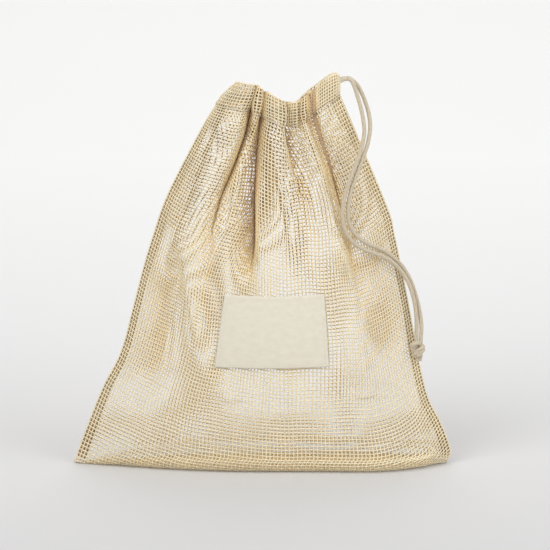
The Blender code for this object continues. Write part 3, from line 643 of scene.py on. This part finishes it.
def wall_base(share):
    """The smooth row of the bag at this share of its height, as x, depth and height."""
    left, right = on_line(left_seam, share), on_line(right_seam, share)
    flat = left + (right - left) * across[:, None]
    flat_top = left_seam[-1] + (right_seam[-1] - left_seam[-1]) * across[:, None]
    gathered = ease((share - GATHER_FOOT) / GATHER_RISE)
    if share < BELLY_LEVEL:
        depth = BASE_DEPTH + (BELLY_DEPTH - BASE_DEPTH) * ease(share / BELLY_LEVEL)
    else:
        depth = BELLY_DEPTH + (MOUTH_DEPTH - BELLY_DEPTH) * ease((share - BELLY_LEVEL) / (1 - BELLY_LEVEL))
    corner = (np.exp(-((across - CORNER_PLACE) / CORNER_REACH) ** 2) * ease((1 - across) / CORNER_EDGE)
              * math.exp(-share / CORNER_RISE))
    out = SEAM_HALF + depth * (1 - (2 * across - 1) ** 2) + CORNER_SWELL * corner
    x = flat[:, 0] + (hem_line[:, 0] - flat_top[:, 0]) * gathered
    y = out + (np.maximum(mouth[:, 1], SEAM_HALF) - out) * gathered
    z = flat[:, 1] + (hem_line[:, 2] - flat_top[:, 1]) * share ** 3
    return np.stack([x, y, z], axis=1)


edge_still = ease(across / LEFT_STILL) * ease((1 - across) / RIGHT_STILL)


def label_still(base):
    """The sewn-on label keeps the cloth behind it flatter."""
    return 1 - np.exp(-((base[:, 0] - LABEL_X) / LABEL_HOLD_X) ** 6
                      - ((base[:, 2] - LABEL_Z) / LABEL_HOLD_Z) ** 6)


def painted_crowd_shade(grid):
    """How much painted shade darkens yarns where they crowd in a tuck, which is deepest near the mouth."""
    spacing = np.linalg.norm(np.diff(grid[:, :, :3], axis=1), axis=2)
    near = np.clip(1 - spacing / (CROWDED * PITCH), 0, 1)
    near = np.maximum(np.pad(near, [(0, 0), (1, 0)]), np.pad(near, [(0, 0), (0, 1)]))
    return CROWDED_SHADE * near * np.clip((grid[:, :, 2] - SHADE_FOOT) / SHADE_RISE, SHADE_LEAST, 1)


def panel_grid(side, folds, courses, tucks):
    """Crossing points of a panel's yarns, as rows from the fold at the base up to the hem. The rows climb
    towards the left seam and drop towards the right one, and those of the back sag."""
    share, place = np.linspace(0, 1, ROWS + 1), np.linspace(0, 1, COLUMNS + 1)
    bow = np.where(share < 0.5, 4 * share * (1 - share), 1 - np.clip(2 * share - 1, 0, 1) ** 3)
    climb = LEFT_CLIMB * np.exp(-place / CLIMB_REACH) - RIGHT_EASE * np.exp((place - 1) / CLIMB_REACH)
    if side > 0:
        climb -= BACK_SAG * 4 * place * (1 - place)
    levels = np.linspace(0.0, 1.0, 140)
    fine, places = [], []
    for level in levels:
        base = wall_base(level)
        row, crease = folded(base, folds, edge_still * (label_still(base) if side < 0 else 1), base)
        slit = tuck_slits(base, row, courses, tucks)
        row[:, :2] -= outward_of(base) * slit[:, None]
        row[:, 1] = np.maximum(row[:, 1], np.minimum(SEAM_HALF, base[:, 1]))
        crease += slit
        # The fourth value is painted shade: how many shades darker the crease colours its yarns.
        fine.append(np.column_stack([row, np.clip(crease / CREASE_DEPTH, 0, DARKEST)]))
        places.append(column_places(base, row, courses, tucks))
    near = np.exp(-((levels[:, None] - levels[None, :]) / COLUMN_STIFFNESS) ** 2)
    places = near @ np.array(places) / near.sum(axis=1)[:, None]
    rows = np.array([at_places(row, place) for row, place in zip(fine, places)])
    columns = []
    for column in range(COLUMNS + 1):
        foot = rows[0, column]
        roll = min(FILLET, FILLET_SHARE * foot[1])
        floor = [(foot[0], y, FLOOR_Z, 0) for y in np.linspace(0, foot[1] - roll, 6)[:-1]]
        turn = np.linspace(0, np.pi / 2, BEND_STEPS + 1)[:-1]
        bend = np.stack([np.full(BEND_STEPS, foot[0]), foot[1] - roll + roll * np.sin(turn),
                         FLOOR_Z + roll * (1 - np.cos(turn)), np.zeros(BEND_STEPS)], axis=1)
        wall = rows[:, column]
        wall = wall[wall[:, 2] > FLOOR_Z + roll]
        columns.append(at_shares(np.vstack([floor, bend, wall]), share + climb[column] * bow))
    grid = np.array(columns).transpose(1, 0, 2)
    grid[:, :, 1] *= side
    return grid[:, :, :3], grid[:, :, 3] + painted_crowd_shade(grid), places[-1], slit


def seen_from_front(points):
    """Where the points appear to someone in front of the bag, sideways and upwards."""
    turned = camera.rotation_euler.to_matrix()
    right, up, behind = (np.array(turned.col[axis]) for axis in range(3))
    away = points - np.array(camera.location)
    return np.stack([away @ right, away @ up], axis=-1) / -(away @ behind)[..., None]


def mesh_offsets(back, front):
    """How many meshes each crossing point of the back seems to lie above and beside its fellow in front."""
    rows, columns = front.shape[:2]
    ahead, behind = seen_from_front(front), seen_from_front(back)
    tree = KDTree(rows * columns)
    for index, place in enumerate(ahead.reshape(-1, 2)):
        tree.insert((*place, 0), index)
    tree.balance()
    nearest = np.array([tree.find((*place, 0))[1] for place in behind.reshape(-1, 2)])
    row, column = np.divmod(nearest.reshape(rows, columns), columns)
    along, upwards = np.gradient(ahead, axis=1)[row, column], np.gradient(ahead, axis=0)[row, column]
    rest = behind - ahead[row, column]
    area = along[..., 0] * upwards[..., 1] - along[..., 1] * upwards[..., 0]
    area = np.where(np.abs(area) < 1e-12, 1e-12, area)
    above = (along[..., 0] * rest[..., 1] - along[..., 1] * rest[..., 0]) / area
    aside = (rest[..., 0] * upwards[..., 1] - rest[..., 1] * upwards[..., 0]) / area
    own_row, own_column = np.mgrid[0:rows, 0:columns]
    return row + np.clip(above, -1, 1) - own_row, column + np.clip(aside, -1, 1) - own_column


def moved_along(grid, up, over):
    """The grid with its crossing points moved along the cloth by so many meshes."""
    rows, columns = grid.shape[:2]
    row_to, column_to = np.mgrid[0:rows, 0:columns] + np.array([up, over])
    row, column = (np.clip(np.floor(to).astype(int), 0, count - 2)
                   for to, count in ((row_to, rows), (column_to, columns)))
    up, over = (row_to - row)[..., None], (column_to - column)[..., None]
    lower = grid[row, column] * (1 - over) + grid[row, column + 1] * over
    upper = grid[row + 1, column] * (1 - over) + grid[row + 1, column + 1] * over
    return lower * (1 - up) + upper * up


def gentle_part(values):
    """A few long waves that fit the values and come to nothing at the edges of the cloth."""
    up, over = (np.sin(np.pi * np.outer(np.arange(1, REGISTER_WAVES + 1), np.linspace(0, 1, count)))
                for count in values.shape)
    waves = np.einsum("ir,jc->rcij", up, over).reshape(values.size, -1)
    kept = np.full(values.size, True)
    for _ in range(3):
        fit = waves @ np.linalg.lstsq(waves[kept], values.ravel()[kept], rcond=None)[0]
        kept = np.abs(values.ravel() - fit) < REGISTER_STRAY
    return fit.reshape(values.shape)


def blurred(values, passes):
    for _ in range(passes):
        wide = np.pad(values, 1, mode="edge")
        values = (wide[:-2, 1:-1] + wide[2:, 1:-1] + wide[1:-1, :-2] + wide[1:-1, 2:] + 4 * values) / 8
    return values


def in_register(back, front):
    """The back re-laid so that over wide patches its yarns lie behind those of the front, as two layers of
    one cloth do that were folded together. The bag can be seen through there, but not under its mouth."""
    back = moved_along(back, *(-gentle_part(offset) for offset in mesh_offsets(back, front)))
    steps = (np.arange(count) for count in back.shape[:2])
    edge = np.minimum.outer(*(np.minimum(step, step[::-1]) for step in steps))
    share, place = np.mgrid[0:1:back.shape[0] * 1j, 0:1:back.shape[1] * 1j]
    closed = 0.5 * ease((share - CLOSED_FOOT) / CLOSED_RISE) * (1 - ease((place - CLOSED_END) / CLOSED_FADE))
    moves = []
    for offset in mesh_offsets(back, front):
        smooth = blurred(offset, REGISTER_SMOOTHING)
        whole = np.round(smooth)
        move = whole + 4 * (smooth - whole) ** 3 + closed - offset
        moves.append(REGISTER_LIMIT * np.tanh(move / REGISTER_LIMIT) * ease(edge / REGISTER_EDGE))
    return moved_along(back, *moves)


def grid_normals(grid, side):
    normal = np.cross(np.gradient(grid, axis=1), np.gradient(grid, axis=0))
    normal /= np.linalg.norm(normal, axis=2)[:, :, None] + 1e-12
    return normal * (1 if side < 0 else -1)


jitter = np.random.default_rng(5)


def yarns(name, lines, facings, depths, material):
    """Thin four-sided threads along the lines, in one mesh. Its attribute says how far a place on a thread's
    skin faces out of the bag, and is lower in the depth of a crease; the material paints shade from it."""
    points, faces, outer = [], [], []
    start = 0
    for line, facing, depth in zip(lines, facings, depths):
        ahead = np.gradient(line, axis=0)
        ahead /= np.linalg.norm(ahead, axis=1)[:, None] + 1e-12
        out = facing - ahead * (facing * ahead).sum(axis=1)[:, None]
        out /= np.linalg.norm(out, axis=1)[:, None] + 1e-12
        beside = np.cross(ahead, out)
        uneven = YARN_UNEVEN * jitter.normal() + YARN_UNEVEN * jitter.normal(0, 1, (len(line), 1))
        thick = YARN_RADIUS * np.clip(1 + uneven, 0.8, 1.25)
        skin = [line + thick * turn for turn in (out, beside, -out, -beside)]
        points.append(np.stack(skin, axis=1).reshape(-1, 3))
        # Painted shade: skin facing into the bag gets a low value, and a crease's depth lowers it further.
        outer.append((np.array([1.0, 0.0, -1.0, 0.0]) - depth[:, None]).ravel())
        first = start + 4 * np.arange(len(line) - 1)
        for k in range(4):
            after = (k + 1) % 4
            faces.append(np.stack([first + k, first + after, first + 4 + after, first + 4 + k], axis=1))
        last = start + 4 * (len(line) - 1)
        faces.append(np.array([np.arange(start + 3, start - 1, -1), np.arange(last, last + 4)]))
        start += 4 * len(line)
    return mesh_piece(name, np.concatenate(points), np.concatenate(faces).tolist(), material,
                      "outer", np.concatenate(outer))


def woven(name, grid, normal, depth, material, first_row=0):
    """Two sets of yarns through the crossing points, passing over and under each other."""
    rows, columns = grid.shape[:2]
    parity = (-1.0) ** (np.arange(rows)[:, None] + np.arange(columns)[None, :])
    slack = np.zeros_like(grid)
    slack[1:-1, 1:-1] = jitter.normal(0, YARN_STRAY, (rows - 2, columns - 2, 3))
    weft = grid + slack + normal * (parity * WEAVE)[:, :, None]
    warp = grid + slack - normal * (parity * WEAVE)[:, :, None]
    return yarns(name, [*weft[first_row:], *warp.transpose(1, 0, 2)],
                 [*normal[first_row:], *normal.transpose(1, 0, 2)], [*depth[first_row:], *depth.T], material)


netting_cotton, shader = material_with(
    "netting_cotton", {"Roughness": 0.9, "Sheen Weight": 0.2, "Sheen Roughness": 0.6})
fibre = object_noise(netting_cotton, 2200.0, 3.0)
tone = weighted_sum(netting_cotton, fibre, 0.35, object_noise(netting_cotton, 70.0, 3.0))
speckle = add_node(netting_cotton, "MapRange", links=[("Value", tone)],
                   **{"From Min": 0.35, "From Max": 0.95, "To Min": 0.88, "To Max": 1.0})
# The outward skin of a yarn takes the cream of the cotton; skin facing into the bag is painted golden and
# yarns deep in creases, tucks and inner layers painted brown: painted shade for the warm, dim light inside
# the bag.
outer = add_node(netting_cotton, "Attribute", attribute_name="outer")
turned = add_node(netting_cotton, "MapRange", links=[("Value", outer.outputs["Fac"])],
                  **{"From Min": -2.0, "From Max": 1.0})
shade = colour_ramp(netting_cotton, turned.outputs["Result"], (0.0, (0.60, 0.42, 0.24)),
                    (0.42, (0.95, 0.745, 0.39)), (0.83, (0.935, 0.84, 0.615)))
shade = add_node(netting_cotton, "VectorMath", operation="SCALE",
                 links=[("Vector", shade), ("Scale", speckle.outputs["Result"])])
fuzz = add_node(netting_cotton, "Bump", Strength=0.3, Distance=0.0001, links=[("Height", fibre)])
connect(netting_cotton, shader, {"Base Color": shade.outputs["Vector"], "Normal": fuzz.outputs["Normal"]})

front_grid, front_crease, front_places, front_slits = panel_grid(-1, front_folds, front_courses, front_tucks)
back_grid, back_crease, back_places, back_slits = panel_grid(1, back_folds, back_courses, back_tucks)
back_grid = in_register(back_grid, front_grid)
front_normal, back_normal = grid_normals(front_grid, -1), grid_normals(back_grid, 1)
front_net = woven("front_netting", front_grid, front_normal, front_crease, netting_cotton)
back_net = woven("back_netting", back_grid, back_normal, back_crease, netting_cotton, first_row=1)
for net, node in ((front_net, "front_panel"), (back_net, "back_panel")):
    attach(net, "bag")
    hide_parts(node)


# Side seams: the raw edges of both panels are turned inside and overlocked together, so along each side
# there are four layers of netting and a zigzag of thread.

SEAM_CELLS = 3
SEAM_SHADE = 1.1  # painted shade: how much darker these inner layers are coloured
SEAM_FOOT = 0.003  # height at which they begin
LAYER_Y = 0.0007  # from the middle of the seam to each inner layer
seam_grids = {}
for name, first, inwards in (("left", 0, 1), ("right", COLUMNS, -1)):
    middle = np.stack([(front_grid[:, first + inwards * k] + back_grid[:, first + inwards * k]) / 2
                       for k in range(SEAM_CELLS + 1)], axis=1)
    front_layer, back_layer = middle.copy(), middle.copy()
    front_layer[:-1] = (middle[:-1] + middle[1:]) / 2
    back_layer[:, :-1] = (middle[:, :-1] + middle[:, 1:]) / 2
    front_layer[:, :, 1] = -LAYER_Y
    back_layer[:, :, 1] = LAYER_Y
    layers = np.concatenate([front_layer[:, ::-1], back_layer], axis=1)
    rows_above = layers[:, 0, 2] > SEAM_FOOT
    layers = layers[rows_above]
    normal = np.zeros_like(layers)
    normal[:, :SEAM_CELLS + 1, 1], normal[:, SEAM_CELLS + 1:, 1] = -1, 1
    seam_grids[name] = middle[rows_above]
    # The inner layers of the seam are coloured darker throughout: painted shade between the close layers.
    shades = np.full(layers.shape[:2], SEAM_SHADE)
    band = woven(name + "_seam_netting", layers, normal, shades, netting_cotton)
    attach(band, "bag")
    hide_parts(name + "_seam_allowance")

THREAD_RADIUS = 0.00028
OVERLOCK_POINTS = 601
OVERLOCK_HALF = 0.0016  # half the thickness that the overlock goes round
OVERLOCK_EDGE, OVERLOCK_BITE = 0.0004, 0.0016  # how far it stands back from the raw edge, and bites in
STITCH_STEPS = 12  # points of a stitch and the gap after it
sewing_thread, shader = material_with("sewing_thread", {"Roughness": 0.75, "Sheen Weight": 0.3})
shade = colour_ramp(sewing_thread, object_noise(sewing_thread, 1500.0, 2.0),
                    (0.3, (0.74, 0.65, 0.48)), (0.7, (0.86, 0.80, 0.67)))
connect(sewing_thread, shader, {"Base Color": shade})


def thread_lines(name, lines, radius=THREAD_RADIUS):
    """Stitches as short or long runs of round thread, in one piece."""
    curve = bpy.data.curves.new(name, "CURVE")
    curve.dimensions = "3D"
    curve.bevel_depth = radius
    curve.bevel_resolution = 1
    curve.use_fill_caps = True
    for line in lines:
        spline = curve.splines.new("POLY")
        spline.points.add(len(line) - 1)
        spline.points.foreach_set("co", np.column_stack([line, np.ones(len(line))]).ravel())
    piece = bpy.data.objects.new(name, curve)
    scene.collection.objects.link(piece)
    bpy.ops.object.select_all(action="DESELECT")
    piece.select_set(True)
    bpy.context.view_layer.objects.active = piece
    bpy.ops.object.convert(target="MESH")
    piece.data.shade_smooth()
    piece.data.materials.clear()
    piece.data.materials.append(sewing_thread)
    return piece


def stitches(line, normal, length=0.0026, gap=0.0009, sink=0.0004):
    """A line of even stitches: each dips into the cloth at both its ends."""
    count = int(line_length(line) / (length + gap))
    even, facing = (even_steps(np.asarray(run), count * STITCH_STEPS + 1) for run in (line, normal))
    arch = np.sin(np.linspace(0, np.pi, STITCH_STEPS - 2)) ** 0.5 * sink * 1.4 - sink
    for i in range(count):
        span = slice(i * STITCH_STEPS + 1, (i + 1) * STITCH_STEPS - 1)
        yield even[span] + facing[span] * arch[:, None]


for name, inwards in (("left", 1), ("right", -1)):
    inner = even_steps(seam_grids[name][:, SEAM_CELLS], OVERLOCK_POINTS)
    swing = np.arange(OVERLOCK_POINTS) % 4
    inner[:, 0] -= inwards * (OVERLOCK_EDGE * (swing % 2 == 0) + OVERLOCK_BITE * (swing == 0))
    inner[:, 1] = np.array([0.0, -OVERLOCK_HALF, 0.0, OVERLOCK_HALF])[swing]
    thread = thread_lines(name + "_seam_overlock", [inner])
    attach(thread, "bag")
    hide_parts(name + "_seam_thread")


# Casing: the top of each panel turned over to the inside and hemmed, so that it is two layers of netting
# with the cord between them.

CASING_ROWS = 8
RIGHT_ROUNDING, LEFT_ROUNDING = 0.007, 0.004  # how far the upper corners are rounded off,
ROUNDED_SHARE = 0.12  # and over which share of the width
BACK_DROP, BACK_LEFT_DROP = 0.003, 0.009  # how much lower the open back rim lies, and more at its left
RIM_DIP, RIM_DIP_X, RIM_DIP_REACH = 0.003, 0.026, 0.014
CORD_FILL, SLIT_FILL = 0.5, 0.85  # how much shallower the cord makes the creases and the slits
CREASE_DROP = 0.25  # how far the rim drops in a crease, as a share of its depth
CASING_SHADE = 1.2  # how much more painted shade creases get in two layers
HEM_SWELL, CORD_SWELL = 0.0006, 0.0014  # half the distance of the layers at the hem, and more at the cord
HEM_LIFT, HEM_THREAD = 0.0006, 0.0002  # of the hem stitching off the netting, and its radius
LOOP_SMOOTHING = 8
cord_line = {}


def casing_layers(side, folds, places, slits):
    """Crossing points of a casing: up the outer layer, over the top edge and down the inner one."""
    outer, inner = [], []
    from_right = np.clip((across - (1 - ROUNDED_SHARE)) / ROUNDED_SHARE, 0, 1)
    from_left = np.clip(1 - across / ROUNDED_SHARE, 0, 1)
    rounded = RIGHT_ROUNDING * (1 - np.sqrt(1 - from_right ** 2))
    rounded += LEFT_ROUNDING * (1 - np.sqrt(1 - from_left ** 2))
    open_part = 1 - ease((across - 0.5) / 0.2)
    back_drop = BACK_DROP + BACK_LEFT_DROP * (1 - ease((hem_line[:, 0] + 0.005) / 0.015))
    hem_folds = fold_height(folds, hem_line[:, 0], hem_line[:, 2])[0]
    for row in range(CASING_ROWS + 1):
        share = row / CASING_ROWS
        base = hem_line + CASING_HEIGHT * share * casing_up
        base[:, 2] -= rounded * share ** 2
        if side > 0:
            base[:, 1] -= 0.5 * base[:, 1] * open_part * share
            base[:, 2] -= back_drop * open_part * share
        base[:, 2] -= RIM_DIP * np.exp(-((base[:, 0] - RIM_DIP_X) / RIM_DIP_REACH) ** 2) * share
        around_cord = ease(share / 0.5)
        still = edge_still * np.where(hem_folds < 0, 1 - CORD_FILL * around_cord, 1)
        row_line, crease = folded(base, folds, still, hem_line)
        row_line[:, :2] -= outward_of(base) * (slits * (1 - SLIT_FILL * around_cord))[:, None]
        row_line[:, 1] = np.maximum(row_line[:, 1], np.minimum(CHANNEL_Y, base[:, 1]))
        crease += slits * (1 - CORD_FILL * around_cord)
        row_line[:, 2] -= CREASE_DROP * crease * share
        middle = at_places(row_line, places)
        crease = at_places(crease[:, None], places)[:, 0]
        # Painted shade for the crease, in shades darker.
        depth = np.clip(CASING_SHADE * crease / CREASE_DEPTH, 0, DARKEST)
        outward = np.column_stack([outward_of(middle), np.zeros(len(middle))])
        swell = HEM_SWELL + CORD_SWELL * max(math.sin(math.pi * min(share * 1.04, 1.0)), 0.0) ** 0.8
        outer.append(np.column_stack([middle + outward * swell, depth]))
        inner.append(np.column_stack([middle - outward * swell, depth]))
        if row == CASING_ROWS // 2:
            cord_line[side] = middle * np.array([1, side, 1])
    grid = np.array(outer + inner[::-1])
    grid[:, :, 1] *= side
    return grid[:, :, :3], grid[:, :, 3] + painted_crowd_shade(grid)


for side, name, folds, places, slits, panel, facing in (
        (-1, "front", front_folds, front_places, front_slits, front_grid, front_normal),
        (1, "back", back_folds, back_places, back_slits, back_grid, back_normal)):
    grid, depth = casing_layers(side, folds, places, slits)
    cloth = woven(name + "_casing_netting", grid, grid_normals(grid, side), depth, netting_cotton)
    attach(cloth, "bag")
    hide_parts(name + "_casing")
    sewn = stitches(panel[-1] + facing[-1] * (YARN_RADIUS + HEM_LIFT), facing[-1])
    hem = thread_lines(name + "_hem_stitching", sewn, radius=HEM_THREAD)
    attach(hem, "bag")
    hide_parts(name + "_casing_thread")

# The part of the cord inside the casing follows the pleats of both halves round the left end of the mouth.
inside = [line[line[:, 0] < lead_start[0] - 0.0005] for line in (cord_line[-1], cord_line[1])]
ends = [lead_start * np.array([1, 0, 1]) + np.array([0, side * CHANNEL_Y, 0]) for side in (-1, 1)]
loop_line = np.vstack([ends[0], inside[0][::-1], inside[1][1:], ends[1]])
for _ in range(LOOP_SMOOTHING):
    loop_line[1:-1] = (loop_line[:-2] + 2 * loop_line[1:-1] + loop_line[2:]) / 4
loop = braided_tube("cord_in_casing", loop_line, cord_cotton)
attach(loop, "bag")
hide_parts("drawstring_loop")


# Label: a bare patch of closely woven cotton, a thin sheet sewn on round its border.

LABEL_WIDTH, LABEL_HEIGHT, LABEL_LIFT = 0.0855, 0.057, 0.0016
LABEL_TAPER, LABEL_SLANT, LABEL_SAG = 0.0115, 0.002, 0.0008
LABEL_THICKNESS = 0.0005
BORDER_INSET, BORDER_LIFT, BORDER_THREAD = 0.0028, 0.0006, 0.00012  # of the stitching round the label
BORDER_STEPS = 60
wall_levels = np.linspace(0, 1, 200)
wall_heights = np.array([wall_base(share)[FINE // 2, 2] for share in wall_levels])


def label_place(u, v, lift):
    """The place at this share of the label's width and height, that far off the smooth front of the bag."""
    x = LABEL_X + LABEL_SLANT * v + (u - 0.5) * (LABEL_WIDTH + LABEL_TAPER * (0.25 - v))
    z = LABEL_Z + (v - 0.5) * LABEL_HEIGHT - LABEL_SAG * (1 - (2 * u - 1) ** 2) * v
    row = wall_base(float(np.interp(z, wall_heights, wall_levels)))
    return np.array([x, -(np.interp(x, row[:, 0], row[:, 1]) + lift), z])


bpy.ops.object.select_all(action="DESELECT")
bpy.ops.mesh.primitive_grid_add(x_subdivisions=64, y_subdivisions=44, size=1)
label = bpy.context.object
label.name = "cotton_label"
for vertex in label.data.vertices:
    u, v = vertex.co.x + 0.5, vertex.co.y + 0.5
    vertex.co = label_place(u, v, LABEL_LIFT)
thickness = label.modifiers.new("thickness", "SOLIDIFY")
thickness.thickness = LABEL_THICKNESS
thickness.offset = 1.0
bpy.ops.object.modifier_apply(modifier=thickness.name)
bpy.ops.object.shade_smooth()
label_cotton, shader = material_with("label_cotton", {"Roughness": 0.85, "Sheen Weight": 0.15})
on_label = [("Vector", add_node(label_cotton, "UVMap", uv_map="UVMap").outputs["UV"])]
warp_lines, weft_lines = (
    add_node(label_cotton, "TexWave", bands_direction=way, Scale=scale, Distortion=0.6, links=on_label)
    for way, scale in (("X", 38.0), ("Y", 26.0)))
cross = add_node(label_cotton, "Math", operation="ADD", links=[
    (0, warp_lines.outputs["Fac"]), (1, weft_lines.outputs["Fac"])]).outputs["Value"]
cloudy = add_node(label_cotton, "TexNoise", Scale=14.0, Detail=4.0, links=on_label)
tone = weighted_sum(label_cotton, cross, 0.12, cloudy.outputs["Fac"])
shade = colour_ramp(label_cotton, tone, (0.3, (0.72, 0.67, 0.55)), (0.9, (0.79, 0.75, 0.64)))
relief = add_node(label_cotton, "Bump", Strength=0.4, Distance=0.0001, links=[("Height", cross)])
connect(label_cotton, shader, {"Base Color": shade, "Normal": relief.outputs["Normal"]})
label.data.materials.append(label_cotton)
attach(label, "bag")
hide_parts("label")

inset_u, inset_v = BORDER_INSET / LABEL_WIDTH, BORDER_INSET / LABEL_HEIGHT
border = [(inset_u, inset_v), (1 - inset_u, inset_v), (1 - inset_u, 1 - inset_v), (inset_u, 1 - inset_v)]
sewn = []
for (u0, v0), (u1, v1) in zip(border, border[1:] + border[:1]):
    steps = np.arange(BORDER_STEPS + 1) / BORDER_STEPS
    run = [(u0 + (u1 - u0) * step, v0 + (v1 - v0) * step) for step in steps]
    line = np.array([label_place(u, v, LABEL_LIFT + BORDER_LIFT) for u, v in run])
    facing = np.array([label_place(u, v, 1.0) - label_place(u, v, 0.0) for u, v in run])
    sewn += list(stitches(line, facing, length=0.0022, gap=0.0008, sink=0.00015))
stitching = thread_lines("label_stitching", sewn, radius=BORDER_THREAD)
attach(stitching, "bag")
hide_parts("label_thread")
